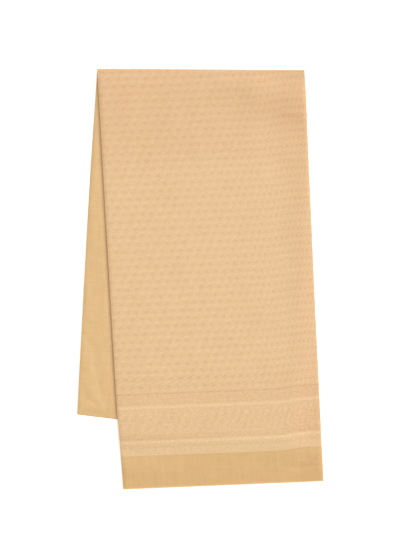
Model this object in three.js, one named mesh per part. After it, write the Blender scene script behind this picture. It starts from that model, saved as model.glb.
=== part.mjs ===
// A saree folded for the shelf and laid flat. The cloth is folded in three across its width and in four
// along its length. That strip, twelve layers deep, is folded once over itself at the top, so a front leaf
// lies on a shorter back leaf. The two lean apart, because the strip crosses its fold a little askew.
//
// Millimetres. +Z is up from the surface, +X is to the right of the front leaf, and +Y points from its
// lower end to the fold. The origin is on the surface, under the middle of the outline.

import * as THREE from 'three';

// ---- Driving dimensions ----

const WALL = 1.0; // a sheet that shows
const SEAM = 0.3; // clearance between neighbouring pieces
const BUNDLE = 0.825; // one of the hidden bundles of layers
const BUNDLES = 4;
const LEAF = 2 * WALL + 2 * SEAM + BUNDLES * BUNDLE; // thickness of one leaf

const FOLD_TILT = THREE.MathUtils.degToRad(0.36); // how far the fold line falls to the right

const TURN_INNER = 1.1; // radius of the inner face where the strip turns over
const TURN_OUTER = TURN_INNER + LEAF;
const TURN_REACH = (TURN_OUTER * Math.PI) / 2; // half the turn's length, along its outer face
const TURN_SETTLE = 75; // how far the front leaf takes to close on to the back leaf

const LEDGE = 15; // how far the front leaf runs level past the back leaf's edge
const DRAPE = 55; // and then how far it takes to come down to the surface

// The strip's side edges. run is the distance along the outer face from the crown of the turn, minus on
// the back leaf. left and right are measured along the fold line, from its middle.
const SECTIONS = [
  { run: -650, left: -218.7, right: 143.6 },
  { run: -400, left: -207.2, right: 157.5 },
  { run: -200, left: -197.0, right: 170.5 },
  { run: 0, left: -184.9, right: 184.9 },
  { run: 200, left: -172.4, right: 195.5 },
  { run: 400, left: -159.6, right: 205.7 },
  { run: 600, left: -146.4, right: 216.8 },
  { run: 760, left: -133.4, right: 225.2 },
];

// Lines across the strip. left and right are the run at each side edge, bow is how much further the line's
// middle runs, and steps and crowd are the number of rows up to the line and how they crowd its far end.
const LINES = {
  backEnd: { left: -623, right: -644, bow: -6 },
  turnBack: { left: -TURN_REACH, right: -TURN_REACH, bow: 0, steps: 7, crowd: 1 },
  turnMiddle: { left: 0, right: 0, bow: 0, steps: 4, crowd: 1 },
  turnFront: { left: TURN_REACH, right: TURN_REACH, bow: 0, steps: 4, crowd: 1 },
  heading: { left: 591, right: 566, bow: 4, steps: 15, crowd: 1.35 },
  band: { left: 697, right: 677, bow: 2, steps: 8, crowd: 1 },
  frontEnd: { left: 756, right: 739, bow: 0, steps: 5, crowd: 1 },
};

// Columns across the strip, closer where the front leaf comes down past the back leaf's right edge.
const COLUMNS = [0, 0.14, 0.3, 0.46, 0.62, 0.75, 0.82, 0.87, 0.915, 0.96, 1];

// The bundles of hidden layers, from the inner face out, and how far each stays inside the sheets at the
// left, the right, the back leaf's end and the front leaf's end.
const BUNDLE_EDGES = [
  { left: 0.9, right: 1.6, back: 1.0, front: 2.6 },
  { left: 1.8, right: 0.6, back: 2.8, front: 1.2 },
  { left: 0.5, right: 1.3, back: 1.6, front: 1.9 },
  { left: 1.2, right: 0.8, back: 2.2, front: 0.9 },
];

// One bundle's rounded edge: how far up the bundle, and how far the edge draws in there.
const ROUNDED_EDGE = [
  { up: 0, in: 0.7 },
  { up: 0.22, in: 0.12 },
  { up: 0.78, in: 0.12 },
];

const CLOTH = {
  peach: { color: '#e8c397', roughness: 0.82 },
  mustard: { color: '#dfb783', roughness: 0.85 },
  underlayers: { color: '#e2bd8c', roughness: 0.85 },
};

// ---- The folded strip ----

const ease = (part) => {
  const held = THREE.MathUtils.clamp(part, 0, 1);
  return held * held * (3 - 2 * held);
};

// A smooth curve through one column of the section table.
function edge(side, run) {
  const last = SECTIONS.length - 1;
  const end = THREE.MathUtils.clamp(SECTIONS.filter((row) => row.run <= run).length, 1, last);
  const slopeAt = (at) => {
    const before = SECTIONS[Math.max(at - 1, 0)];
    const after = SECTIONS[Math.min(at + 1, last)];
    return (after[side] - before[side]) / (after.run - before.run);
  };
  const [from, to] = [SECTIONS[end - 1], SECTIONS[end]];
  const span = to.run - from.run;
  const part = (run - from.run) / span;
  const lead = part * (1 - part) * (1 - part) * slopeAt(end - 1);
  const trail = part * part * (1 - part) * slopeAt(end);
  return from[side] + (to[side] - from[side]) * part * part * (3 - 2 * part) + (lead - trail) * span;
}

const lineRun = (line, across) =>
  THREE.MathUtils.lerp(line.left, line.right, across) + line.bow * 4 * across * (1 - across);

// Height of the front leaf's inner face, at a place along the fold line and away from it.
function frontLeafHeight(along, away) {
  const run = TURN_OUTER - TURN_REACH - away; // of the back leaf, below that place
  const [left, right] = [edge('left', run), edge('right', run)];
  const across = THREE.MathUtils.clamp((along - left) / (right - left), 0, 1);
  const pastSide = Math.max(along - right - LEDGE, 0);
  const pastEnd = Math.max(lineRun(LINES.backEnd, across) - run - LEDGE, 0);
  const opening = (2 * TURN_INNER - SEAM) * ease(1 - (away - TURN_OUTER) / TURN_SETTLE);
  return (LEAF + SEAM + opening) * ease(1 - Math.hypot(pastSide, pastEnd) / DRAPE);
}

// A place in the strip: across it (0 left, 1 right) and moved to the right, along its run, and out from
// its inner face.
function foldedPlace(across, moved, run, depth) {
  const along = THREE.MathUtils.lerp(edge('left', run), edge('right', run), across) + moved;
  const straight = Math.abs(run) - TURN_REACH;
  if (straight <= 0) {
    const angle = run / TURN_OUTER;
    const radius = TURN_INNER + depth;
    const away = TURN_OUTER - radius * Math.cos(angle);
    return { along, away, up: LEAF + TURN_INNER + radius * Math.sin(angle) };
  }
  const away = TURN_OUTER + straight;
  const up = run < 0 ? LEAF - depth : frontLeafHeight(along, away) + depth;
  return { along, away, up };
}

const onSurface = ({ along, away, up }) =>
  new THREE.Vector3(
    along * Math.cos(FOLD_TILT) - away * Math.sin(FOLD_TILT),
    -along * Math.sin(FOLD_TILT) - away * Math.cos(FOLD_TILT),
    up,
  );

// The outline's four outermost corners, which give its middle.
const outline = new THREE.Box3().setFromPoints(
  ['backEnd', 'turnMiddle', 'frontEnd'].flatMap((name) =>
    [0, 1].map((across) => onSurface(foldedPlace(across, 0, lineRun(LINES[name], across), LEAF))),
  ),
);
const middle = outline.getCenter(new THREE.Vector3()).setZ(0);

// ---- Pieces ----

// The rows between two lines, as functions of the place across. trimStart and trimEnd shorten the piece.
function rowsBetween(first, last, trimStart = 0, trimEnd = 0) {
  const names = Object.keys(LINES);
  const rows = [(across) => lineRun(LINES[first], across) + trimStart];
  for (let at = names.indexOf(first) + 1; at <= names.indexOf(last); at += 1) {
    const [from, to] = [LINES[names[at - 1]], LINES[names[at]]];
    for (let step = 1; step <= to.steps; step += 1) {
      const part = (step / to.steps) ** to.crowd;
      const trim = names[at] === last && step === to.steps ? trimEnd : 0;
      rows.push((across) =>
        THREE.MathUtils.lerp(lineRun(from, across), lineRun(to, across), part) - trim,
      );
    }
  }
  return rows;
}

// A closed solid between its first and last level. Each level has a depth in the strip, and how far its
// edges stay inside the strip's own.
function slab(name, rows, levels, finish) {
  const [lastRow, lastColumn, lastLevel] = [rows.length - 1, COLUMNS.length - 1, levels.length - 1];
  const positions = [];
  const known = new Map();

  const vertex = (level, row, column) => {
    const key = `${level} ${row} ${column}`;
    if (!known.has(key)) {
      const inside = levels[level];
      const across = COLUMNS[column];
      const moved = (column === 0 ? inside.left : 0) - (column === lastColumn ? inside.right : 0);
      const run = rows[row](across) + (row === 0 ? inside.back : 0) - (row === lastRow ? inside.front : 0);
      const point = onSurface(foldedPlace(across, moved, run, inside.depth)).sub(middle);
      known.set(key, positions.length / 3);
      positions.push(point.x, point.y, point.z);
    }
    return known.get(key);
  };

  const triangles = [];
  const quad = (a, b, c, d) => triangles.push(a, b, c, a, c, d);

  for (let row = 0; row < lastRow; row += 1) {
    for (let column = 0; column < lastColumn; column += 1) {
      const corners = [[row, column], [row + 1, column], [row + 1, column + 1], [row, column + 1]];
      quad(...corners.map((corner) => vertex(lastLevel, ...corner)));
      const [a, b, c, d] = corners.map((corner) => vertex(0, ...corner));
      triangles.push(a, c, b, a, d, c);
    }
  }

  const rim = [];
  for (let column = 0; column < lastColumn; column += 1) rim.push([0, column]);
  for (let row = 0; row < lastRow; row += 1) rim.push([row, lastColumn]);
  for (let column = lastColumn; column > 0; column -= 1) rim.push([lastRow, column]);
  for (let row = lastRow; row > 0; row -= 1) rim.push([row, 0]);
  for (let level = 0; level < lastLevel; level += 1) {
    rim.forEach((here, at) => {
      const next = rim[(at + 1) % rim.length];
      quad(
        vertex(level, ...here),
        vertex(level + 1, ...here),
        vertex(level + 1, ...next),
        vertex(level, ...next),
      );
    });
  }

  const geometry = new THREE.BufferGeometry();
  geometry.setAttribute('position', new THREE.Float32BufferAttribute(positions, 3));
  geometry.setIndex(triangles);
  geometry.computeVertexNormals();
  const material = new THREE.MeshStandardMaterial({ ...finish, metalness: 0 });
  const mesh = new THREE.Mesh(geometry, material);
  mesh.name = name;
  return mesh;
}

const flush = { left: 0, right: 0, back: 0, front: 0 };
const innerSheet = [{ depth: 0, ...flush }, { depth: WALL, ...flush }];
const outerSheet = [{ depth: LEAF - WALL, ...flush }, { depth: LEAF, ...flush }];

// The hidden bundles, one on the other, with a groove between neighbours.
function bundleLevels() {
  const levelAt = (edges, up, drawnIn) => {
    const sides = Object.entries(edges).map(([side, inside]) => [side, inside + drawnIn]);
    return { depth: WALL + SEAM + up, ...Object.fromEntries(sides) };
  };
  const levels = BUNDLE_EDGES.flatMap((edges, bundle) =>
    ROUNDED_EDGE.map((point) => levelAt(edges, (bundle + point.up) * BUNDLE, point.in)),
  );
  const top = levelAt(BUNDLE_EDGES.at(-1), BUNDLES * BUNDLE, ROUNDED_EDGE[0].in);
  return [...levels, top];
}

const half = SEAM / 2;
const turnTrim = (half * TURN_OUTER) / TURN_INNER; // keeps the seam's clearance at the inner face

const saree = new THREE.Group();
saree.add(
  slab('underside_cloth', rowsBetween('backEnd', 'turnBack', 0, half), outerSheet, CLOTH.peach),
  slab('top_fold', rowsBetween('turnBack', 'turnFront', half, half), outerSheet, CLOTH.peach),
  slab('front_field', rowsBetween('turnFront', 'heading', half, half), outerSheet, CLOTH.peach),
  slab('pallu_heading', rowsBetween('heading', 'band', half, half), outerSheet, CLOTH.peach),
  slab('end_band', rowsBetween('band', 'frontEnd', half, 0), outerSheet, CLOTH.mustard),
  slab('hidden_layers', rowsBetween('backEnd', 'frontEnd'), bundleLevels(), CLOTH.underlayers),
  slab('back_leaf_face', rowsBetween('backEnd', 'turnMiddle', 0, turnTrim), innerSheet, CLOTH.mustard),
  slab('front_leaf_inside', rowsBetween('turnMiddle', 'frontEnd', turnTrim, 0), innerSheet, CLOTH.mustard),
);

export default saree;
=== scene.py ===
"""A saree folded for the shelf and laid flat: its cloth, finish, light and camera.

The cloth is folded in three across its width, which gives the thirds A, B and C, and in four along
its length, which gives quarters 1 to 4. The twelve layers are folded once over themselves at the
top, so a front leaf lies on a shorter back leaf.

Sizes are in millimetres until a mesh is made, and the materials measure the cloth in metres. +Z is
up from the surface, +X is to the right of the front leaf, and +Y points along it to the fold.
"""

import math
from collections import namedtuple

import bpy
import numpy as np
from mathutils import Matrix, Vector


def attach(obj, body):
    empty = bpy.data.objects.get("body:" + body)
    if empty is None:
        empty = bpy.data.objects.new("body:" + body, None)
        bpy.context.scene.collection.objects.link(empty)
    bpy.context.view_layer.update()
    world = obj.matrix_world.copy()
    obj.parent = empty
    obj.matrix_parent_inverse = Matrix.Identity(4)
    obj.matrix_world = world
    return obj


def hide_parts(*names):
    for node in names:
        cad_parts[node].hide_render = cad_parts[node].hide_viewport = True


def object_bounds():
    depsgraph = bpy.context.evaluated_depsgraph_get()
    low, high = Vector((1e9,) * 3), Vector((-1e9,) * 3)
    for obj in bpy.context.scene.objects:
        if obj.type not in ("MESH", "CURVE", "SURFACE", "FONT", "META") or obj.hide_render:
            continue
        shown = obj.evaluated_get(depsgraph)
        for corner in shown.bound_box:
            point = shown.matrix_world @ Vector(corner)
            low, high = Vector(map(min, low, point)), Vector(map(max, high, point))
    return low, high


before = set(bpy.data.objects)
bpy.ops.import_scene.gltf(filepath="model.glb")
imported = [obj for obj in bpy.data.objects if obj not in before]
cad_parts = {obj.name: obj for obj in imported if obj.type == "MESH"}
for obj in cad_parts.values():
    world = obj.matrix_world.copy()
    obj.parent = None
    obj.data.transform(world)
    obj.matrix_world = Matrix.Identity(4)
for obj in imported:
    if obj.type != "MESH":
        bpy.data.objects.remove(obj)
CAD_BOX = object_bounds()

MM = 0.001

# ---- The folded strip, as in the part's solids ----

TURN_INNER = 1.1  # radius of the inner face where the strip turns over
LEAF = CAD_BOX[1].z / MM / 2 - TURN_INNER  # twelve layers, pressed
TURN_OUTER = TURN_INNER + LEAF
TURN_REACH = TURN_OUTER * math.pi / 2  # half the turn's length, along its outer face
TURN_SETTLE = 75.0  # how far the front leaf takes to close on to the back leaf
SEAM = 0.3  # clearance between the two leaves
LEDGE = 15.0  # how far the front leaf runs level past the back leaf's edge
DRAPE = 55.0  # and then how far it takes to come down to the surface
FOLD_TILT = math.radians(0.36)  # how far the fold line falls to the right

# The strip's side edges, along the fold line from its middle. run is the distance along the outer
# face from the crown of the turn, minus on the back leaf.
Section = namedtuple("Section", "run left right")
SECTIONS = [
    Section(-650, -218.7, 143.6),
    Section(-400, -207.2, 157.5),
    Section(-200, -197.0, 170.5),
    Section(0, -184.9, 184.9),
    Section(200, -172.4, 195.5),
    Section(400, -159.6, 205.7),
    Section(600, -146.4, 216.8),
    Section(760, -133.4, 225.2),
]

# The strip's two ends: the run at each side edge, and how much further the middle runs.
End = namedtuple("End", "left right bow")
BACK_END = End(-623, -644, -6)
FRONT_END = End(756, 739, 0)

# ---- The cloth ----

SHEET_WIDTH = 1100.0
SHEET_LENGTH = 5500.0
THIRD = SHEET_WIDTH / 3
CLOTH = 0.28  # thickness of one layer
LAYERS = 12
QUARTER_LAYERS = 3
OUTER_NEST, INNER_NEST = 11, 2  # the middle layers of quarters 1 and 4
PITCH = (LEAF - CLOTH) / (LAYERS - 1)  # from one layer to the next
LOOP_RADIUS = PITCH / 2  # of the fold between two thirds

# Woven lines, from the pallu's end.
BAND_LINE = 58.4  # where the mustard band meets the heading
HEADING_LINE = 167.8  # where the heading meets the field

# Near its right edge the weft lies a little further up than at the left.
WEFT_RISE = 4.8
WEFT_RISE_FROM = 0.765  # share of the width
WEFT_RISE_OVER = 0.17
WEFT_RISE_BY = 20.0  # how far above the end it takes to come about
WEFT_RISE_ROUNDS = 4  # to find the thread at a place, each closer than the last

# ---- Air under the outer sheets, and their creases ----

FRONT_AIR = 1.3
BACK_AIR = 0.9
LOOSE_AFTER = 22.0  # how far past the turn a sheet takes to lift
EDGE_SOFTNESS = 3.5  # how far from the sides it takes
SELVEDGE_SHARE = 0.4  # of the front leaf's air that is left at its selvedge
FRONT_END_SHARE = 0.7  # and at its end
FRONT_END_SOFTNESS = 14.0
BACK_END_SOFTNESS = 12.0
COVER_CLEARANCE = 2.0  # from the front leaf's edge to where the back leaf's sheet starts to lift
COVER_SOFTNESS = 10.0

# Faint waves, in shares of the air. across and along are their lengths on the leaf, over 2 pi.
# shift and sway are in radians, and sway is how far the shift swings to either side along the leaf.
Wave = namedtuple("Wave", "share across along shift sway")
FRONT_WAVES = [
    Wave(0.12, 21, math.inf, 0, 1.3),
    Wave(0.10, 37, 95, 0.8, 0),
    Wave(0.06, -60, 33, 0, 0),
]
BACK_WAVES = [
    Wave(0.18, 9, 41, 0, 0),
    Wave(0.14, math.inf, 23, 1.1, 0),
]
SWAY_LENGTH = 140.0  # over 2 pi too

# A soft trough or ridge. Places are (from the left fold, run). A trough's hold is how firmly it
# presses the sheet down, and a ridge's lift is its height.
Trough = namedtuple("Trough", "start end half_width hold bend")
Ridge = namedtuple("Ridge", "start end half_width lift bend")
CREASE_FADE = 0.25  # share of a crease's length over which it fades, at each end
CREASE_END_SHARE = 0.35  # of the crease that is left there
FRONT_TROUGHS = [
    # below the fold, towards the right edge
    Trough((246, 98), (372, 114), 17, 0.9, 4),
    Trough((282, 168), (368, 190), 12, 0.7, -2),
    # a long faint press line
    Trough((165, 292), (158, 455), 6, 0.25, 3),
    Trough((158, 450), (151, 620), 6, 0.3, -4),
    # a short one on the end band, at the right
    Trough((290, 716), (350, 711), 4, 0.8, 0),
]
FRONT_RIDGES = [
    # from below the fold to the right edge
    Ridge((240, 28), (412, 64), 29, 3.6, 5),
    Ridge((318, 78), (376, 85), 8, 0.8, 1),
    Ridge((280, 138), (366, 172), 20, 0.5, 3),
    # lengthwise waves below the fold
    Ridge((58, 18), (50, 112), 15, 0.3, -3),
    Ridge((97, 24), (88, 166), 12, 0.25, 3),
    Ridge((136, 12), (125, 198), 12, 0.35, 3),
    Ridge((176, 10), (165, 182), 12, 0.4, -3),
    Ridge((208, 14), (197, 162), 11, 0.3, 2),
    Ridge((274, 84), (265, 200), 13, 0.35, -3),
    # faint ones in the lower half
    Ridge((250, 300), (244, 470), 16, 0.35, 6),
    Ridge((96, 380), (104, 560), 15, 0.3, -5),
    # across the end band
    Ridge((-25, 726), (215, 718), 9, 0.5, 2),
    Ridge((185, 718), (395, 709), 9, 0.5, -1),
]
BACK_TROUGHS = [
    Trough((6, -458), (24, -478), 5, 0.9, 2),
    Trough((8, -486), (30, -524), 6, 1.1, 3),
    Trough((24, -520), (38, -560), 5, 0.8, -2),
    Trough((30, -556), (52, -616), 6, 1.1, 3),
    Trough((4, -590), (34, -604), 4, 0.9, 1),
    Trough((2, -330), (26, -392), 7, 0.6, -3),
    Trough((12, -240), (20, -318), 5, 0.4, 2),
]
BACK_RIDGES = [
    Ridge((10, -406), (22, -438), 6, 0.4, 2),
    Ridge((2, -508), (22, -548), 5, 0.5, -2),
    Ridge((40, -520), (50, -560), 5, 0.4, 2),
    Ridge((8, -560), (26, -590), 5, 0.5, 1),
    Ridge((14, -606), (48, -622), 5, 0.4, -1),
]


# ---- Shapes of the strip ----


def ease(part):
    """0 to 1, slow at both ends."""
    held = np.clip(part, 0, 1)
    return held * held * (3 - 2 * held)


def lerp(start, end, part):
    return start + (end - start) * part


def arch(part):
    """0 at both ends and 1 halfway."""
    return 4 * part * (1 - part)


def edge(side, run):
    """A smooth curve through one column of the section table."""
    runs = np.array([section.run for section in SECTIONS], float)
    places = np.array([getattr(section, side) for section in SECTIONS], float)
    last = len(runs) - 1
    before = np.maximum(np.arange(last + 1) - 1, 0)
    after = np.minimum(np.arange(last + 1) + 1, last)
    slopes = (places[after] - places[before]) / (runs[after] - runs[before])
    end = np.clip(np.searchsorted(runs, run, side="right"), 1, last)
    start = end - 1
    span = runs[end] - runs[start]
    part = (run - runs[start]) / span
    lead = part * (1 - part) ** 2 * slopes[start]
    trail = part**2 * (1 - part) * slopes[end]
    return lerp(places[start], places[end], part**2 * (3 - 2 * part)) + (lead - trail) * span


def end_run(end, across):
    """The run at which the strip ends."""
    return lerp(end.left, end.right, across) + end.bow * arch(across)


def front_leaf_height(along, away):
    """Height of the front leaf's inner face, at a place along the fold line and away from it."""
    run = TURN_OUTER - TURN_REACH - away  # of the back leaf, below that place
    left, right = edge("left", run), edge("right", run)
    across = np.clip((along - left) / (right - left), 0, 1)
    past_side = np.maximum(along - right - LEDGE, 0)
    past_end = np.maximum(end_run(BACK_END, across) - run - LEDGE, 0)
    opening = (2 * TURN_INNER - SEAM) * ease(1 - (away - TURN_OUTER) / TURN_SETTLE)
    return (LEAF + SEAM + opening) * ease(1 - np.hypot(past_side, past_end) / DRAPE)


def strip_place(along, run, depth, lift):
    """Points of the strip. depth is out from its inner face, and lift is away from the surface."""
    straight = np.abs(run) - TURN_REACH
    angle = np.clip(run / TURN_OUTER, -math.pi / 2, math.pi / 2)
    radius = TURN_INNER + depth
    away = np.where(straight <= 0, TURN_OUTER - radius * np.cos(angle), TURN_OUTER + straight)
    turn_up = LEAF + TURN_INNER + radius * np.sin(angle)
    front_up = front_leaf_height(along, away) + depth + lift
    back_up = LEAF - depth + lift
    up = np.where(straight <= 0, turn_up, np.where(run > 0, front_up, back_up))
    x = along * math.cos(FOLD_TILT) - away * math.sin(FOLD_TILT)
    y = -along * math.sin(FOLD_TILT) - away * math.cos(FOLD_TILT)
    return np.stack(np.broadcast_arrays(x, y, up), axis=-1)


def outline_middle():
    """The middle of the strip's outline, before it is centred."""
    across = np.array([0.0, 1.0])
    corners = []
    for run in (end_run(BACK_END, across), np.zeros(2), end_run(FRONT_END, across)):
        along = lerp(edge("left", run), edge("right", run), across)
        corners.append(strip_place(along, run, LEAF, 0))
    corners = np.concatenate(corners)
    middle = (corners.min(axis=0) + corners.max(axis=0)) / 2
    middle[2] = 0
    return middle


MIDDLE = outline_middle()


# ---- Woven places ----


def weft_rise(across, woven):
    """How much further up a weft thread lies than at the left."""
    past = ease((across - WEFT_RISE_FROM) / WEFT_RISE_OVER)
    return WEFT_RISE * past * (1 - np.exp(-woven / WEFT_RISE_BY))


def woven_to_run(woven, across):
    """The run of a weft thread, given how far it is woven from the pallu's end."""
    return end_run(FRONT_END, across) - woven - weft_rise(across, woven)


def run_to_woven(run, across):
    """How far a place is woven from the pallu's end."""
    from_end = end_run(FRONT_END, across) - run
    woven = from_end
    for _ in range(WEFT_RISE_ROUNDS):
        woven = from_end - weft_rise(across, woven)
    return woven


# ---- Creases ----


def nearness(from_left, run, crease):
    """1 on the line of a crease, less towards its ends, and 0 away from it."""
    start, end = np.array(crease.start, float), np.array(crease.end, float)
    length = np.linalg.norm(end - start)
    direction = (end - start) / length
    x, y = from_left - start[0], run - start[1]
    lengthwise = x * direction[0] + y * direction[1]
    part = np.clip(lengthwise / length, 0, 1)
    sideways = y * direction[0] - x * direction[1] - crease.bend * arch(part)
    distance = np.hypot(sideways, lengthwise - part * length)
    fading = ease(part / CREASE_FADE) * ease((1 - part) / CREASE_FADE)
    return lerp(CREASE_END_SHARE, 1, fading) * np.exp(-((distance / crease.half_width) ** 2))


def creased_air(air, troughs, ridges, from_left, run):
    """How far a loose sheet stands off the layers below it."""
    pressed = sum(trough.hold * nearness(from_left, run, trough) for trough in troughs)
    raised = sum(ridge.lift * nearness(from_left, run, ridge) for ridge in ridges)
    return air * np.exp(-pressed) + raised


def wave_height(waves, from_left, run):
    """The sum of faint waves, in shares of the air."""
    side = np.sin(run / SWAY_LENGTH)
    return sum(
        wave.share
        * np.sin(from_left / wave.across + run / wave.along + wave.shift + wave.sway * side)
        for wave in waves
    )


def front_lift(from_left, from_right, run):
    """Air under the front leaf's outer sheet."""
    to_end = end_run(FRONT_END, from_left / THIRD) - run
    loose = ease((run - TURN_REACH) / LOOSE_AFTER) * ease(from_left / EDGE_SOFTNESS)
    loose = loose * lerp(SELVEDGE_SHARE, 1, ease(from_right / EDGE_SOFTNESS))
    loose = loose * lerp(FRONT_END_SHARE, 1, ease(to_end / FRONT_END_SOFTNESS))
    air = FRONT_AIR * (1 + wave_height(FRONT_WAVES, from_left, run))
    return loose * creased_air(air, FRONT_TROUGHS, FRONT_RIDGES, from_left, run)


def back_lift(from_left, along, run):
    """Air under the back leaf's inner sheet, where the front leaf doesn't lie on it."""
    covered_from = edge("left", np.abs(run))
    loose = ease((covered_from - along - COVER_CLEARANCE) / COVER_SOFTNESS)
    loose = loose * ease(from_left / EDGE_SOFTNESS)
    loose = loose * ease((run - end_run(BACK_END, 0)) / BACK_END_SOFTNESS)
    loose = loose * ease((-run - TURN_REACH) / LOOSE_AFTER)
    air = BACK_AIR * (1 + wave_height(BACK_WAVES, from_left, run))
    return loose * creased_air(air, BACK_TROUGHS, BACK_RIDGES, from_left, run)


# ---- Layers ----

# One line of stations across the cloth. offset is the layer's place in its quarter, from +1 for
# third A to -1 for C, and bulge is how far a fold's loop stands out, in pitches. left_free and
# right_free say whether that side of the third is a selvedge. from_fold is the place in the cloth,
# from fold A-B. third is the third's letter, or the side of a loop between two.
Stations = namedtuple("Stations", "across offset bulge left_free right_free from_fold third")
LOOP_STEPS = 6
LOOP_ANGLES = np.linspace(0, math.pi, LOOP_STEPS + 1)[1:-1]


def join_stations(*parts):
    return Stations(*(np.concatenate(columns) for columns in zip(*parts)))


def flat_stations(third, across):
    offset = {"A": 1.0, "B": 0.0, "C": -1.0}[third]
    from_fold = {"A": across, "B": -across, "C": across - 2}[third] * THIRD
    same = np.ones_like(across)
    return Stations(
        across=across,
        offset=offset * same,
        bulge=0 * same,
        left_free=same * (third == "C"),
        right_free=same * (third == "A"),
        from_fold=from_fold,
        third=np.full(len(across), third),
    )


def loop_stations(side):
    """The loop that joins two thirds: A and B at the left, or B and C at the right."""
    same = np.ones_like(LOOP_ANGLES)
    if side == "left":
        middle, across, outward, fold = 0.5, 0.0, -1, 0.0
    else:
        middle, across, outward, fold = -0.5, 1.0, 1, -THIRD
    return Stations(
        across=across * same,
        offset=middle + 0.5 * np.cos(LOOP_ANGLES),
        bulge=outward * 0.5 * np.sin(LOOP_ANGLES),
        left_free=0 * same,
        right_free=0 * same,
        from_fold=fold - LOOP_ANGLES * LOOP_RADIUS,
        third=np.full(len(LOOP_ANGLES), side),
    )


# How far the folds and selvedges lie inside the outline, and how far that swings, with a shift of
# its own for each kind. Two waves make up the swing, from layer to layer and along the strip. Their
# lengths are over 2 pi, and only the first takes the shift.
Inset = namedtuple("Inset", "base swing shift")
INSETS = {
    "left": Inset(0.7, 0.45, 0.0),
    "right": Inset(1.1, 0.6, 1.9),
    "free": Inset(2.1, 1.3, 4.1),
}
Swing = namedtuple("Swing", "share each_layer length shifted")
SWINGS = [
    Swing(0.65, 2.1, 83, True),
    Swing(0.35, 5.3, 31, False),
]
OUTER_TAPER = 2  # layers over which the left folds come out to the outline


def inset(kind, nest, run):
    """How far a fold or selvedge lies inside the outline. nest is its quarter's middle layer."""
    base, reach, shift = INSETS[kind]
    swings = sum(
        swing.share * np.sin(swing.each_layer * nest + shift * swing.shifted + run / swing.length)
        for swing in SWINGS
    )
    taper = ease((OUTER_NEST - nest) / OUTER_TAPER) if kind == "left" else 1
    return (base + reach * swings) * taper


def along_at(stations, nest, run, outer_selvedge=0.0):
    """Where the stations lie along the fold line.

    outer_selvedge is 0 where third A's selvedge lies on the outline, and 1 where it is inset.
    """
    free = inset("free", nest, run)
    left_fold = inset("left", nest, run) + LOOP_RADIUS
    right_fold = inset("right", nest, run) + LOOP_RADIUS
    left_in = np.where(stations.left_free > 0, free, left_fold)
    right_in = np.where(stations.right_free > 0, free * outer_selvedge, right_fold)
    left, right = edge("left", run) + left_in, edge("right", run) - right_in
    return lerp(left, right, stations.across) + stations.bulge * PITCH


def layer_depth(layer):
    """Depth of the middle of a layer, counted from 1 at the inner face."""
    return CLOTH / 2 + PITCH * (layer - 1)


# ---- Meshes ----

SHARP_FROM = math.radians(50)  # the angle between two faces from which their edge looks sharp
NO_LENGTH = 1e-9


def shell(name, centre, woven, keep=None):
    """A closed sheet of cloth round a grid of points, or round the cells of it that are kept.

    woven holds the grid's places in the cloth.
    """
    rows, columns = centre.shape[:2]
    down_run, over = np.gradient(centre, axis=0), np.gradient(centre, axis=1)
    normal = np.cross(down_run, over)
    normal /= np.maximum(np.linalg.norm(normal, axis=-1, keepdims=True), NO_LENGTH)
    points = np.concatenate([
        (centre + normal * CLOTH / 2).reshape(-1, 3),
        (centre - normal * CLOTH / 2).reshape(-1, 3),
    ])
    keep = np.ones((rows - 1, columns - 1), bool) if keep is None else keep
    grid = np.arange(rows * columns).reshape(rows, columns)
    corners = [grid[:-1, :-1], grid[1:, :-1], grid[1:, 1:], grid[:-1, 1:]]
    a, b, c, d = (corner[keep] for corner in corners)
    under = rows * columns
    faces = [np.stack([a, b, c, d], axis=1), np.stack([a, d, c, b], axis=1) + under]
    padded = np.pad(keep, 1)
    beyond = [padded[1:-1, :-2], padded[2:, 1:-1], padded[1:-1, 2:], padded[:-2, 1:-1]]
    for side, neighbour in enumerate(beyond):
        rim = keep & ~neighbour
        start, end = corners[side][rim], corners[(side + 1) % 4][rim]
        faces.append(np.stack([end, start, start + under, end + under], axis=1))
    faces = np.concatenate(faces)
    used, faces = np.unique(faces, return_inverse=True)
    faces = faces.reshape(-1, 4)
    places = np.concatenate([woven.reshape(-1, 2)] * 2)[used] * MM

    mesh = bpy.data.meshes.new(name)
    mesh.from_pydata(((points[used] - MIDDLE) * MM).tolist(), [], faces.tolist())
    cloth_places = mesh.uv_layers.new(name="woven place")
    cloth_places.data.foreach_set("uv", places[faces.ravel()].astype(np.float32).ravel())
    mesh.shade_smooth()
    mesh.set_sharp_from_angle(angle=SHARP_FROM)
    piece = bpy.data.objects.new(name, mesh)
    bpy.context.scene.collection.objects.link(piece)
    return piece


SHEET_COLUMNS = 106


def sheet_stations():
    """Third A with the loop at its left, which turns under to third B."""
    loop = loop_stations("left")
    loop = Stations(*(column[::-1] for column in loop))
    return join_stations(loop, flat_stations("A", np.linspace(0, 1, SHEET_COLUMNS)))


def rows_between(first, last, steps):
    part = np.linspace(0, 1, steps + 1)[:, None]
    return lerp(first, last, part)


def outer_sheet(name, first_woven, last_woven, steps):
    """A stretch of quarter 1's third A, between two lines of weft given at each station."""
    stations = sheet_stations()
    across = stations.across
    woven = rows_between(np.broadcast_to(last_woven, across.shape), first_woven, steps)
    run = woven_to_run(woven, across)
    along = along_at(stations, OUTER_NEST, run)
    from_left = along - edge("left", run)
    from_right = edge("right", run) - along
    flat = stations.offset == 1
    lift = np.where(flat & (run > 0), front_lift(from_left, from_right, run), 0)
    depth = layer_depth(OUTER_NEST + stations.offset)
    centre = strip_place(along, run, depth, lift)
    places = np.stack(np.broadcast_arrays(stations.from_fold, woven), axis=-1)
    return shell(name, centre, places)


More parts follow.
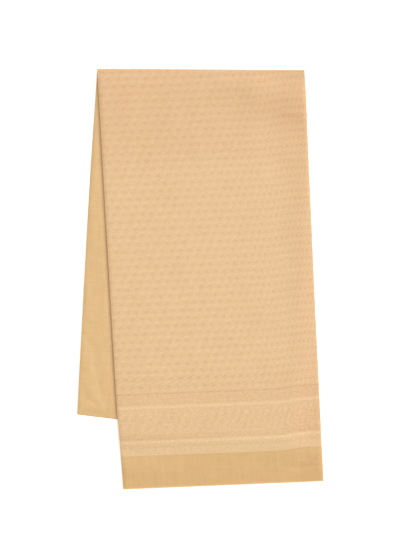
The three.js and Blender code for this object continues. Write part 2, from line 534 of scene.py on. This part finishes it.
def inner_sheet(name, first_run, last_run, steps):
    """A stretch of quarter 4's third A, between two lines given by their run at each station."""
    stations = sheet_stations()
    run = rows_between(np.broadcast_to(first_run, stations.across.shape), last_run, steps)
    along = along_at(stations, INNER_NEST, run)
    lift = np.where(run < 0, back_lift(along - edge("left", run), along, run), 0)
    depth = layer_depth(INNER_NEST - stations.offset)
    centre = strip_place(along, run, depth, lift)[:, ::-1]
    woven = SHEET_LENGTH - run_to_woven(run, stations.across)
    places = np.stack(np.broadcast_arrays(stations.from_fold, woven), axis=-1)[:, ::-1]
    return shell(name, centre, places)


# Where the hidden layers have points, closer together where they turn or drape.
Points = namedtuple("Points", "first last count")
HIDDEN_COLUMNS = [
    Points(0, 0.8, 12),
    Points(0.816, 1, 12),
]
HIDDEN_RUNS = [
    Points(-600, -60, 12),
    Points(-34, -TURN_REACH - 3, 3),
    Points(-TURN_REACH, TURN_REACH, 17),
    Points(TURN_REACH + 8, 90, 8),
    Points(130, 550, 10),
    Points(560, 704, 19),
    Points(715, 728, 2),
]

# A row of points across the whole cloth, of kind flat, end or loop. A flat row has a run, and the
# others an end of the strip. quarter is counted from 0. middle is the layer halfway through the
# join with the next quarter, or for the last with the one before. turn is the side of it where the
# row lies, from 1 to -1, and reach is how far a loop stands out.
Row = namedtuple("Row", "kind run end quarter middle turn reach")

INWARD = {BACK_END: 1, FRONT_END: -1}  # which way the run goes, from each end
END_LOOP = 2.5 * PITCH  # reach of the outermost layer where two quarters join
JOIN_INSET = END_LOOP + 0.35  # how far inside the outline they join
FREE_END_INSET = {0: 0.8, 3: 1.5}  # how far inside it the cloth's two ends lie, by their quarter
FREE_END_STEP = 0.4  # and how much further for each third after A


def spread(rows):
    return np.concatenate([np.linspace(*row) for row in rows])


def hidden_rows():
    """The rows of the whole cloth, from the pallu's end."""
    rows = []
    for quarter in range(4):
        to_back = quarter % 2 == 0
        first, last = (FRONT_END, BACK_END) if to_back else (BACK_END, FRONT_END)
        runs = spread(HIDDEN_RUNS)[::-1] if to_back else spread(HIDDEN_RUNS)
        middle = LAYERS + 0.5 - QUARTER_LAYERS * (min(quarter, 2) + 1)
        side = 1 if quarter < 3 else -1
        rows.append(Row("end", None, first, quarter, middle, side, 0.0))
        rows.extend(Row("flat", run, None, quarter, middle, side, 0.0) for run in runs)
        rows.append(Row("end", None, last, quarter, middle, side, 0.0))
        if quarter < 3:
            for angle in LOOP_ANGLES:
                turn, reach = math.cos(angle), math.sin(angle)
                rows.append(Row("loop", None, last, quarter, middle, turn, reach))
    return rows


def folded_layers(name):
    """All that lies between the outer and inner sheets, in one length as the cloth is folded."""
    columns = spread(HIDDEN_COLUMNS)
    stations = join_stations(
        flat_stations("A", columns[::-1]),
        loop_stations("left"),
        flat_stations("B", columns),
        loop_stations("right"),
        flat_stations("C", columns[::-1]),
    )
    rows = hidden_rows()
    centre, woven = [], []
    for place, row in enumerate(rows):
        # In layers from the join. Third A is the furthest from it, but in quarter 2 the nearest.
        stack = QUARTER_LAYERS / 2 + (-1 if row.quarter == 1 else 1) * stations.offset
        layer = row.middle + row.turn * stack
        nest = row.middle + row.turn * QUARTER_LAYERS / 2
        if row.kind == "flat":
            run = np.full_like(stations.across, row.run)
        else:
            margin = JOIN_INSET
            if row.end == FRONT_END and row.quarter in FREE_END_INSET:
                margin = FREE_END_INSET[row.quarter] + FREE_END_STEP * (1 - stations.offset)
            from_end = margin - stack * PITCH * row.reach
            run = end_run(row.end, stations.across) + INWARD[row.end] * from_end
        along = along_at(stations, nest, run, outer_selvedge=1.0)
        centre.append(strip_place(along, run, layer_depth(layer), 0))
        woven_at = place / (len(rows) - 1) * SHEET_LENGTH
        woven.append(np.stack(np.broadcast_arrays(stations.from_fold, woven_at), axis=-1))

    # Third A of quarters 1 and 4, with its loop, is made as the outer and inner sheets.
    own_sheet = np.isin(stations.third, ["A", "left"])[:-1]
    keep = []
    for row, following in zip(rows[:-1], rows[1:]):
        has_sheet = row.quarter in (0, 3) and "loop" not in (row.kind, following.kind)
        keep.append(~own_sheet if has_sheet else np.ones_like(own_sheet))
    return shell(name, np.array(centre), np.array(woven), np.array(keep))


# ---- Node helpers ----


class Graph:
    """Adds nodes to a node tree and joins them."""

    def __init__(self, tree):
        self.tree = tree

    def node(self, kind, values=None, **settings):
        made = self.tree.nodes.new(kind)
        for name, value in settings.items():
            setattr(made, name, value)
        for socket, value in (values or {}).items():
            self.plug(value, made.inputs[socket])
        return made

    def plug(self, value, socket):
        if isinstance(value, bpy.types.NodeSocket):
            self.tree.links.new(value, socket)
        else:
            socket.default_value = value

    def maths(self, operation, *values, kind="ShaderNodeMath"):
        return self.node(kind, dict(enumerate(values)), operation=operation).outputs[0]

    def ramp(self, value, low, high):
        """0 at low and 1 at high, with soft ends."""
        values = {"Value": value, "From Min": low, "From Max": high}
        return self.node("ShaderNodeMapRange", values, interpolation_type="SMOOTHSTEP").outputs[0]

    def mix(self, part, first, second):
        values = {0: part, 6: first, 7: second}  # the node's sockets for colours
        return self.node("ShaderNodeMix", values, data_type="RGBA").outputs[2]

    def use(self, group, **values):
        made = self.tree.nodes.new("ShaderNodeGroup")
        made.node_tree = group
        for name, value in values.items():
            self.plug(value, made.inputs[name.replace("_", " ")])
        return made.outputs


def new_group(name, inputs, outputs):
    """The graph of a new node group with number sockets, and its group input's sockets."""
    group = bpy.data.node_groups.new(name, "ShaderNodeTree")
    for socket, value in inputs.items():
        made = group.interface.new_socket(socket, in_out="INPUT", socket_type="NodeSocketFloat")
        made.default_value = value
    for socket in outputs:
        group.interface.new_socket(socket, in_out="OUTPUT", socket_type="NodeSocketFloat")
    graph = Graph(group)
    return graph, graph.node("NodeGroupInput").outputs


def finish_group(graph, **outputs):
    values = {name.replace("_", " "): value for name, value in outputs.items()}
    graph.node("NodeGroupOutput", values)
    return graph.tree


# ---- Node groups ----

# Every Tone is how much lighter the cloth is there than its dye. Sizes are in metres.

# Thick and thin places for each metre, along the yarn and across it.
SLUBS_ALONG = 26.0
SLUBS_ACROSS = 900.0
WEFT_SLUB = 0.5  # how strong the weft's are, as a share of the warp's
CROSSING_RELIEF = 0.5
CROSSING_TONE = 0.03


def make_plain_weave():
    """Threads that pass over and under each other, with the thick and thin places of spun yarn."""
    inputs = {"Across": 0, "Along": 0, "Thread spacing": 0.00042, "Slub": 0.06}
    graph, given = new_group("plain weave", inputs, ["Height", "Tone"])
    threads = []
    for name in ("Across", "Along"):
        count = graph.maths("DIVIDE", given[name], given["Thread spacing"])
        threads.append(graph.maths("SINE", graph.maths("MULTIPLY", count, math.pi)))
    crossing = graph.maths("MULTIPLY", *threads)
    spots = []
    for stretched, still in (("Across", "Along"), ("Along", "Across")):
        place = graph.node("ShaderNodeCombineXYZ", {
            "X": graph.maths("MULTIPLY", given[stretched], SLUBS_ALONG),
            "Y": graph.maths("MULTIPLY", given[still], SLUBS_ACROSS),
        }).outputs[0]
        noise = graph.node("ShaderNodeTexNoise", {"Vector": place, "Scale": 1.0, "Detail": 2.0})
        spots.append(graph.maths("SUBTRACT", noise.outputs["Fac"], 0.5))
    slub = graph.maths("MULTIPLY_ADD", spots[1], WEFT_SLUB, spots[0])
    slub = graph.maths("MULTIPLY", slub, given["Slub"])
    height = graph.maths("MULTIPLY_ADD", crossing, CROSSING_RELIEF, slub)
    tone = graph.maths("MULTIPLY_ADD", crossing, CROSSING_TONE, slub)
    return finish_group(graph, Height=height, Tone=tone)


def make_uneven_tone():
    """Soft lighter and darker places, of a width across the cloth and a length along it."""
    inputs = {"Across": 0, "Along": 0, "Width": 0.02, "Length": 0.03, "Amount": 0.05}
    graph, given = new_group("uneven tone", inputs, ["Tone"])
    place = graph.node("ShaderNodeCombineXYZ", {
        "X": graph.maths("DIVIDE", given["Across"], given["Width"]),
        "Y": graph.maths("DIVIDE", given["Along"], given["Length"]),
    }).outputs[0]
    noise = graph.node("ShaderNodeTexNoise", {
        "Vector": place,
        "Scale": 1.0,
        "Detail": 2.0,
        "Roughness": 0.5,
    })
    either_way = graph.maths("SUBTRACT", noise.outputs["Fac"], 0.5)
    return finish_group(graph, Tone=graph.maths("MULTIPLY", either_way, given["Amount"]))


def make_selvedge_and_painted_shade():
    """The closer weave along the selvedge of third A, and painted shade that darkens a wider strip
    along it, offsetting the light on the slope down at the right.
    """
    inputs = {"Across": 0, "From edge": 0.07, "Full from edge": 0.02, "Amount": -0.05}
    graph, given = new_group("selvedge", inputs, ["Tone"])
    inner = graph.maths("SUBTRACT", THIRD * MM, given["From edge"])
    outer = graph.maths("SUBTRACT", THIRD * MM, given["Full from edge"])
    mask = graph.ramp(given["Across"], inner, outer)
    return finish_group(graph, Tone=graph.maths("MULTIPLY", mask, given["Amount"]))


CROWDING_POWER = 5.0  # the higher it is, the closer to the selvedge the crowding starts


def make_crowded_columns():
    """Counts the repeat's columns from the fold between A and B. They crowd near the selvedge."""
    inputs = {"Across": 0, "Columns": 22.0, "Crowding": 5.8}
    graph, given = new_group("crowded columns", inputs, ["Column"])
    share = graph.maths("DIVIDE", given["Across"], THIRD * MM)
    crowd = graph.maths("POWER", graph.maths("ABSOLUTE", share), CROWDING_POWER)
    even = graph.maths("MULTIPLY", share, given["Columns"])
    return finish_group(graph, Column=graph.maths("MULTIPLY_ADD", crowd, given["Crowding"], even))


# The marks of the small repeat, in shares of their cell.
Mark = namedtuple("Mark", "slope half_width half_height")
DASH = Mark(0.0, 0.27, 0.2)
LOZENGE = Mark(0.2, 0.32, 0.17)
MARK_FADE = 1.9  # the square of the distance at which a mark has faded, in its own half sizes
STRAY_SCALE = 1.4
STRAY_UP = 0.7  # how far the rows stray, as a share of the columns' straying
STRAY_STRENGTH = 3.0  # how uneven the marks' strength is


def cell_marks(graph, column, row, shift, mark):
    """A soft oval mark in each cell of a grid, whose rows are each shifted on the row before."""
    row_shift = graph.maths("MULTIPLY", graph.maths("FLOOR", row), shift)
    shifted = graph.maths("SUBTRACT", column, row_shift)
    over = graph.maths("SUBTRACT", graph.maths("FRACT", shifted), 0.5)
    up = graph.maths("SUBTRACT", graph.maths("FRACT", row), 0.5)
    up = graph.maths("MULTIPLY_ADD", over, -mark.slope, up)
    squares = [
        graph.maths("POWER", graph.maths("DIVIDE", graph.maths("ABSOLUTE", value), half), 2.0)
        for value, half in ((over, mark.half_width), (up, mark.half_height))
    ]
    return graph.ramp(graph.maths("ADD", *squares), MARK_FADE, 0.0)


def make_small_repeat():
    """Rows of short dark dashes, with light lozenges between the rows. No two are quite alike."""
    inputs = {"Column": 0, "Along": 0, "Row height": 0.0134, "Shift": 0.4, "Unevenness": 0.5}
    graph, given = new_group("small repeat", inputs, ["Dark", "Light"])
    row = graph.maths("DIVIDE", given["Along"], given["Row height"])
    place = graph.node("ShaderNodeCombineXYZ", {"X": given["Column"], "Y": row}).outputs[0]
    noise = graph.node("ShaderNodeTexNoise", {"Vector": place, "Scale": STRAY_SCALE, "Detail": 1.0})
    stray = [
        graph.maths("MULTIPLY", graph.maths("SUBTRACT", value, 0.5), given["Unevenness"])
        for value in graph.node("ShaderNodeSeparateXYZ", {0: noise.outputs["Color"]}).outputs
    ]
    column = graph.maths("ADD", given["Column"], stray[0])
    row = graph.maths("MULTIPLY_ADD", stray[1], STRAY_UP, row)
    dark = cell_marks(graph, column, row, given["Shift"], DASH)
    between = [graph.maths("ADD", value, 0.5) for value in (column, row)]
    light = cell_marks(graph, *between, given["Shift"], LOZENGE)
    strength = graph.maths("MULTIPLY_ADD", stray[2], STRAY_STRENGTH, 1.0)
    dark = graph.maths("MULTIPLY", dark, strength)
    light = graph.maths("MULTIPLY", light, strength)
    return finish_group(graph, Dark=dark, Light=light)


def make_woven_line():
    """A line across the cloth."""
    inputs = {"Along": 0, "Centre": 0, "Half width": 0.001, "Softness": 0.001}
    graph, given = new_group("woven line", inputs, ["Mask"])
    distance = graph.maths("ABSOLUTE", graph.maths("SUBTRACT", given["Along"], given["Centre"]))
    past = graph.maths("SUBTRACT", distance, given["Half width"])
    past = graph.maths("DIVIDE", past, given["Softness"])
    return finish_group(graph, Mask=graph.ramp(past, 1.0, 0.0))


STROKE_SPOTS = 90.0  # uneven places for each metre up
STROKE_STRAY = 0.9  # how far they push the strokes, in columns
STROKE_START = 0.2  # how high the wave is where a stroke starts
STROKE_FULL = 0.6  # share of the half height up to which the strokes are full


def make_slanted_row():
    """A row of slanted strokes across the cloth, one to a column.

    Slant is how many columns the strokes move on for each metre up.
    """
    inputs = {
        "Column": 0,
        "Along": 0,
        "Centre": 0,
        "Half height": 0.01,
        "Slant": 35.0,
        "Fullness": 0.5,
    }
    graph, given = new_group("slanted row", inputs, ["Mask"])
    up = graph.maths("SUBTRACT", given["Along"], given["Centre"])
    place = graph.maths("SUBTRACT", given["Column"], graph.maths("MULTIPLY", up, given["Slant"]))
    spot = graph.node("ShaderNodeCombineXYZ", {
        "X": given["Column"],
        "Y": graph.maths("MULTIPLY", up, STROKE_SPOTS),
    }).outputs[0]
    noise = graph.node("ShaderNodeTexNoise", {"Vector": spot, "Scale": 1.0, "Detail": 1.0})
    place = graph.maths("MULTIPLY_ADD", noise.outputs["Fac"], STROKE_STRAY, place)
    turn = graph.maths("MULTIPLY", place, 2 * math.pi)
    wave = graph.maths("MULTIPLY_ADD", graph.maths("COSINE", turn), 0.5, given["Fullness"])
    fall = graph.maths("DIVIDE", graph.maths("ABSOLUTE", up), given["Half height"])
    strokes = graph.ramp(wave, STROKE_START, 1.0)
    mask = graph.maths("MULTIPLY", strokes, graph.ramp(fall, 1.0, STROKE_FULL))
    return finish_group(graph, Mask=mask)


GROUPS = {
    "weave": make_plain_weave(),
    "uneven": make_uneven_tone(),
    "selvedge": make_selvedge_and_painted_shade(),
    "columns": make_crowded_columns(),
    "repeat": make_small_repeat(),
    "line": make_woven_line(),
    "slanted": make_slanted_row(),
}

# ---- Materials ----

# How much of each part of a cloth's own colour the set brings out, and how much its surface adds.
LIGHT_LEVEL = (1.014, 1.098, 1.171)
GLOSS = 0.054


def dye(red, green, blue):
    """A cloth's own colour, given how it looks in the set's light, each part from 0 to 255."""
    shown = np.array([red, green, blue]) / 255
    light = ((shown + 0.055) / 1.055) ** 2.4  # as a display shows it
    return (*((light - GLOSS) / LIGHT_LEVEL).tolist(), 1.0)


PEACH = dye(232.5, 195.5, 151.5)
PEACH_SHADED_BY_FOLD = dye(230.5, 190, 147)  # painted shade: a little darker towards the fold
MUSTARD_BAND = dye(221.5, 181.5, 129.5)
MUSTARD_INSIDE = dye(228.5, 190, 138)
TONE_SPREAD = (0.84, 1.53, 2.0)  # a tone's share in red, green and blue, so that it looks neutral

# Soft uneven places: their width across the cloth and length along it in mm, and their strength.
Uneven = namedtuple("Uneven", "width length amount")
FIELD_UNEVEN = [
    Uneven(1.9, 1.8, 0.43),
    Uneven(30, 45, 0.05),
]
HEADING_UNEVEN = [
    Uneven(2.0, 1.8, 0.42),
    Uneven(6, 5, 0.2),
    Uneven(40, 40, 0.05),
]
MUSTARD_UNEVEN = [
    Uneven(2.4, 2.4, 0.2),
    Uneven(9, 80, 0.11),
    Uneven(90, 4, 0.06),
    Uneven(13, 14, 0.1),
]

# Lines across the cloth: their place from the pallu's end, half width and softness in mm, and tone.
WovenLine = namedtuple("WovenLine", "at half_width softness tone")
FIELD_EDGE = WovenLine(HEADING_LINE, 0.9, 1.5, -0.055)
SHADE_BY_FOLD = WovenLine(750, 110, 90, None)  # painted shade on both sides of the fold, given as a darker colour with no tone
LIGHT_BY_BAND = WovenLine(62, 6, 24, 0.065)  # painted light: paler on both sides of the band line, offsetting the shade of the slope down to the surface
HEADING_LINES = [
    WovenLine(61.0, 0.6, 1.0, -0.02),
    WovenLine(64.5, 0.6, 1.0, -0.02),
    WovenLine(68.0, 0.6, 1.0, -0.02),
    WovenLine(72.4, 0.7, 1.0, -0.06),
    WovenLine(75.4, 0.6, 0.9, -0.05),
    WovenLine(82.6, 1.6, 1.5, 0.075),
    WovenLine(88.4, 0.7, 1.0, -0.065),
    WovenLine(91.8, 0.6, 1.0, -0.045),
    WovenLine(95.2, 0.6, 1.0, -0.045),
    WovenLine(144.1, 1.6, 1.5, 0.075),
    WovenLine(150.8, 0.7, 1.0, -0.045),
    WovenLine(154.8, 0.7, 1.0, -0.04),
    WovenLine(158.8, 0.7, 1.0, -0.04),
    WovenLine(162.8, 0.7, 1.0, -0.04),
    WovenLine(HEADING_LINE, 0.9, 1.5, -0.075),
]

# Rows of slanted strokes: their place from the pallu's end and half height in mm, and the rest.
StrokeRow = namedtuple("StrokeRow", "at half_height slant fullness tone")
FIELD_STROKES = StrokeRow(184, 20, 140, 0.5, -0.03)
HEADING_STROKES = StrokeRow(117, 20, 35, 0.5, -0.028)
HEADING_DOTS = StrokeRow(130, 3, 0, 0.4, 0.04)

DASH_TONE = -0.055
LOZENGE_TONE = 0.035
# tone of the selvedge's closer weave and its painted shade, in the heading
HEADING_SELVEDGE_AND_SHADE_TONE = -0.075
LOZENGE_RELIEF = 0.8  # a share of the relief's depth
LINE_RELIEF = 12.0  # and for each unit of a line's tone
RELIEF_DEPTH = 0.00012
RELIEF_STRENGTH = 0.6


def new_cloth(name):
    """A soft silky cloth, with the places in the cloth, in metres, and its shader."""
    material = bpy.data.materials.new(name)
    material.use_nodes = True
    graph = Graph(material.node_tree)
    graph.tree.nodes.clear()
    place = graph.node("ShaderNodeUVMap", uv_map="woven place").outputs[0]
    parts = graph.node("ShaderNodeSeparateXYZ", {0: place}).outputs
    shader = graph.node("ShaderNodeBsdfPrincipled", {
        "Roughness": 0.42,
        "Specular IOR Level": 0.5,
        "Sheen Weight": 0.12,
        "Sheen Roughness": 0.45,
        "Sheen Tint": (1.0, 0.92, 0.8, 1.0),
        "Subsurface Weight": 0.25,  # light that passes through the thin layers
        "Subsurface Radius": (1.0, 0.6, 0.3),
        "Subsurface Scale": 0.005,
    })
    graph.node("ShaderNodeOutputMaterial", {"Surface": shader.outputs[0]})
    return material, graph, parts["X"], parts["Y"], shader


def dress(graph, shader, colour, tones, height):
    """Puts the cloth's colour with its tones, and its relief, on the shader."""
    tone = tones[0]
    for more in tones[1:]:
        tone = graph.maths("ADD", tone, more)
    vector = "ShaderNodeVectorMath"
    factor = graph.maths("MULTIPLY_ADD", tone, TONE_SPREAD, (1, 1, 1), kind=vector)
    graph.plug(graph.maths("MULTIPLY", colour, factor, kind=vector), shader.inputs["Base Color"])
    bump = graph.node("ShaderNodeBump", {
        "Height": height,
        "Distance": RELIEF_DEPTH,
        "Strength": RELIEF_STRENGTH,
    })
    graph.plug(bump.outputs[0], shader.inputs["Normal"])


def uneven_tones(graph, across, along, rows):
    return [
        graph.use(
            GROUPS["uneven"], Across=across, Along=along,
            Width=row.width * MM, Length=row.length * MM, Amount=row.amount,
        )["Tone"]
        for row in rows
    ]


def line_mask(graph, along, line):
    return graph.use(
        GROUPS["line"], Along=along,
        Centre=line.at * MM, Half_width=line.half_width * MM, Softness=line.softness * MM,
    )["Mask"]


def line_tone(graph, along, line):
    return graph.maths("MULTIPLY", line_mask(graph, along, line), line.tone)


def stroke_tone(graph, column, along, row):
    mask = graph.use(
        GROUPS["slanted"], Column=column, Along=along,
        Centre=row.at * MM, Half_height=row.half_height * MM,
        Slant=row.slant, Fullness=row.fullness,
    )["Mask"]
    return graph.maths("MULTIPLY", mask, row.tone)


def solid_colour(graph, colour):
    made = graph.node("ShaderNodeRGB")
    made.outputs[0].default_value = colour
    return made.outputs[0]


def make_peach_field():
    material, graph, across, along, shader = new_cloth("peach field")
    weave = graph.use(GROUPS["weave"], Across=across, Along=along)
    column = graph.use(GROUPS["columns"], Across=across)["Column"]
    repeat = graph.use(GROUPS["repeat"], Column=column, Along=along)
    tones = [
        weave["Tone"],
        # the selvedge's closer weave and painted shade along the right side
        graph.use(GROUPS["selvedge"], Across=across)["Tone"],
        graph.maths("MULTIPLY", repeat["Dark"], DASH_TONE),
        graph.maths("MULTIPLY", repeat["Light"], LOZENGE_TONE),
        stroke_tone(graph, column, along, FIELD_STROKES),
        line_tone(graph, along, FIELD_EDGE),
        *uneven_tones(graph, across, along, FIELD_UNEVEN),
    ]
    # painted shade: the field turns darker towards the fold
    colour = graph.mix(line_mask(graph, along, SHADE_BY_FOLD), PEACH, PEACH_SHADED_BY_FOLD)
    height = graph.maths("MULTIPLY_ADD", repeat["Light"], LOZENGE_RELIEF, weave["Height"])
    dress(graph, shader, colour, tones, height)
    return material


def make_peach_heading():
    material, graph, across, along, shader = new_cloth("peach heading")
    weave = graph.use(GROUPS["weave"], Across=across, Along=along)
    column = graph.use(GROUPS["columns"], Across=across)["Column"]
    tones = [
        weave["Tone"],
        # the selvedge's closer weave and painted shade along the right side
        graph.use(GROUPS["selvedge"], Across=across, Amount=HEADING_SELVEDGE_AND_SHADE_TONE)["Tone"],
        # painted light on both sides of the band line
        line_tone(graph, along, LIGHT_BY_BAND),
        stroke_tone(graph, column, along, HEADING_STROKES),
        stroke_tone(graph, column, along, HEADING_DOTS),
        *uneven_tones(graph, across, along, HEADING_UNEVEN),
    ]
    height = weave["Height"]
    for line in HEADING_LINES:
        tone = line_tone(graph, along, line)
        tones.append(tone)
        height = graph.maths("MULTIPLY_ADD", tone, LINE_RELIEF, height)
    dress(graph, shader, solid_colour(graph, PEACH), tones, height)
    return material


def make_plain_mustard(name, colour):
    material, graph, across, along, shader = new_cloth(name)
    weave = graph.use(GROUPS["weave"], Across=across, Along=along)
    tones = [
        weave["Tone"],
        # the selvedge's closer weave and painted shade along the right side
        graph.use(GROUPS["selvedge"], Across=across)["Tone"],
        # painted light on both sides of the band line
        line_tone(graph, along, LIGHT_BY_BAND),
        *uneven_tones(graph, across, along, MUSTARD_UNEVEN),
    ]
    dress(graph, shader, solid_colour(graph, colour), tones, weave["Height"])
    return material


INSIDE_FROM = 4050.0  # where the plain inside stretch begins, from the pallu's end


def make_folded_layers():
    """The whole length: mustard band, peach field, then the plain mustard stretch inside."""
    material, graph, across, along, shader = new_cloth("folded layers")
    weave = graph.use(GROUPS["weave"], Across=across, Along=along)
    past_band = graph.maths("GREATER_THAN", along, BAND_LINE * MM)
    inside = graph.maths("GREATER_THAN", along, INSIDE_FROM * MM)
    colour = graph.mix(past_band, MUSTARD_BAND, PEACH)
    colour = graph.mix(inside, colour, MUSTARD_INSIDE)
    dress(graph, shader, colour, [weave["Tone"]], weave["Height"])
    return material


# ---- Pieces ----


def finish_piece(piece, material, node):
    """Gives a piece its finish, puts it under the root body and hides its part from the solids."""
    piece.data.materials.append(material)
    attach(piece, "root")
    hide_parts(node)


def dress_saree():
    across = sheet_stations().across
    turn_front = run_to_woven(np.full_like(across, TURN_REACH), across)
    turn_back = run_to_woven(np.full_like(across, -TURN_REACH), across)
    back_line = end_run(BACK_END, across) + JOIN_INSET
    back_end = run_to_woven(back_line, across)
    front_line = end_run(FRONT_END, across) - FREE_END_INSET[3]

    peach = make_peach_field()
    heading = make_peach_heading()
    band = make_plain_mustard("mustard band", MUSTARD_BAND)
    inside = make_plain_mustard("mustard inside", MUSTARD_INSIDE)
    layers = make_folded_layers()

    finish_piece(
        outer_sheet("front_field_cloth", HEADING_LINE, turn_front, steps=160),
        peach, "front_field",
    )
    finish_piece(
        outer_sheet("pallu_heading_cloth", BAND_LINE, HEADING_LINE, steps=40),
        heading, "pallu_heading",
    )
    finish_piece(
        outer_sheet("end_band_cloth", 0.0, BAND_LINE, steps=26),
        band, "end_band",
    )
    finish_piece(
        outer_sheet("top_fold_cloth", turn_front, turn_back, steps=44),
        peach, "top_fold",
    )
    finish_piece(
        outer_sheet("underside_sheet", turn_back, back_end, steps=120),
        peach, "underside_cloth",
    )
    finish_piece(
        inner_sheet("back_leaf_sheet", back_line, 0.0, steps=170),
        inside, "back_leaf_face",
    )
    finish_piece(
        inner_sheet("front_leaf_inner_sheet", 0.0, front_line, steps=190),
        inside, "front_leaf_inside",
    )
    finish_piece(
        folded_layers("folded_layers_cloth"),
        layers, "hidden_layers",
    )


# ---- Set: camera, floor and light ----

FRAME_PIXELS = 533  # on the long side
PIXEL = 1.786  # what one pixel covers on the cloth
LENS = 100.0
SENSOR = 36.0
VIEW_CENTRE = (-0.4, 22.3)  # below the camera
CLOTH_TOP = 10.0
FLOOR_HALF = 6000.0
FLOOR_DROP = 0.2  # how far it lies below the cloth


def add_camera():
    camera = bpy.data.cameras.new("camera")
    camera.lens = LENS
    camera.sensor_width = SENSOR
    camera.clip_end = 50
    view = bpy.data.objects.new("camera", camera)
    distance = FRAME_PIXELS * PIXEL * LENS / SENSOR
    view.location = (VIEW_CENTRE[0] * MM, VIEW_CENTRE[1] * MM, (CLOTH_TOP + distance) * MM)
    bpy.context.scene.collection.objects.link(view)
    bpy.context.scene.camera = view


def add_floor():
    half = FLOOR_HALF * MM
    corners = [(-half, -half, 0), (half, -half, 0), (half, half, 0), (-half, half, 0)]
    mesh = bpy.data.meshes.new("floor")
    mesh.from_pydata(corners, [], [(0, 1, 2, 3)])
    floor = bpy.data.objects.new("floor", mesh)
    floor.location.z = -FLOOR_DROP * MM
    material = bpy.data.materials.new("pale floor")
    material.use_nodes = True
    shader = material.node_tree.nodes["Principled BSDF"]
    shader.inputs["Base Color"].default_value = (0.85, 0.85, 0.85, 1)
    shader.inputs["Roughness"].default_value = 0.9
    # lit from below too, like a light table
    shader.inputs["Emission Color"].default_value = (1, 1, 1, 1)
    shader.inputs["Emission Strength"].default_value = 0.35
    mesh.materials.append(material)
    bpy.context.scene.collection.objects.link(floor)


def add_light():
    world = bpy.data.worlds.new("studio")
    world.use_nodes = True
    background = world.node_tree.nodes["Background"]
    background.inputs["Color"].default_value = (1, 1, 1, 1)
    background.inputs["Strength"].default_value = 0.6
    bpy.context.scene.world = world

    light = bpy.data.lights.new("soft box", "SUN")
    light.energy = 2.38
    light.angle = math.radians(58)
    lamp = bpy.data.objects.new("soft box", light)
    # overhead, and a little from the upper right
    lamp.rotation_euler = (math.radians(-16), math.radians(25), 0)
    bpy.context.scene.collection.objects.link(lamp)
    bpy.context.scene.view_settings.view_transform = "Standard"


dress_saree()
add_camera()
add_floor()
add_light()
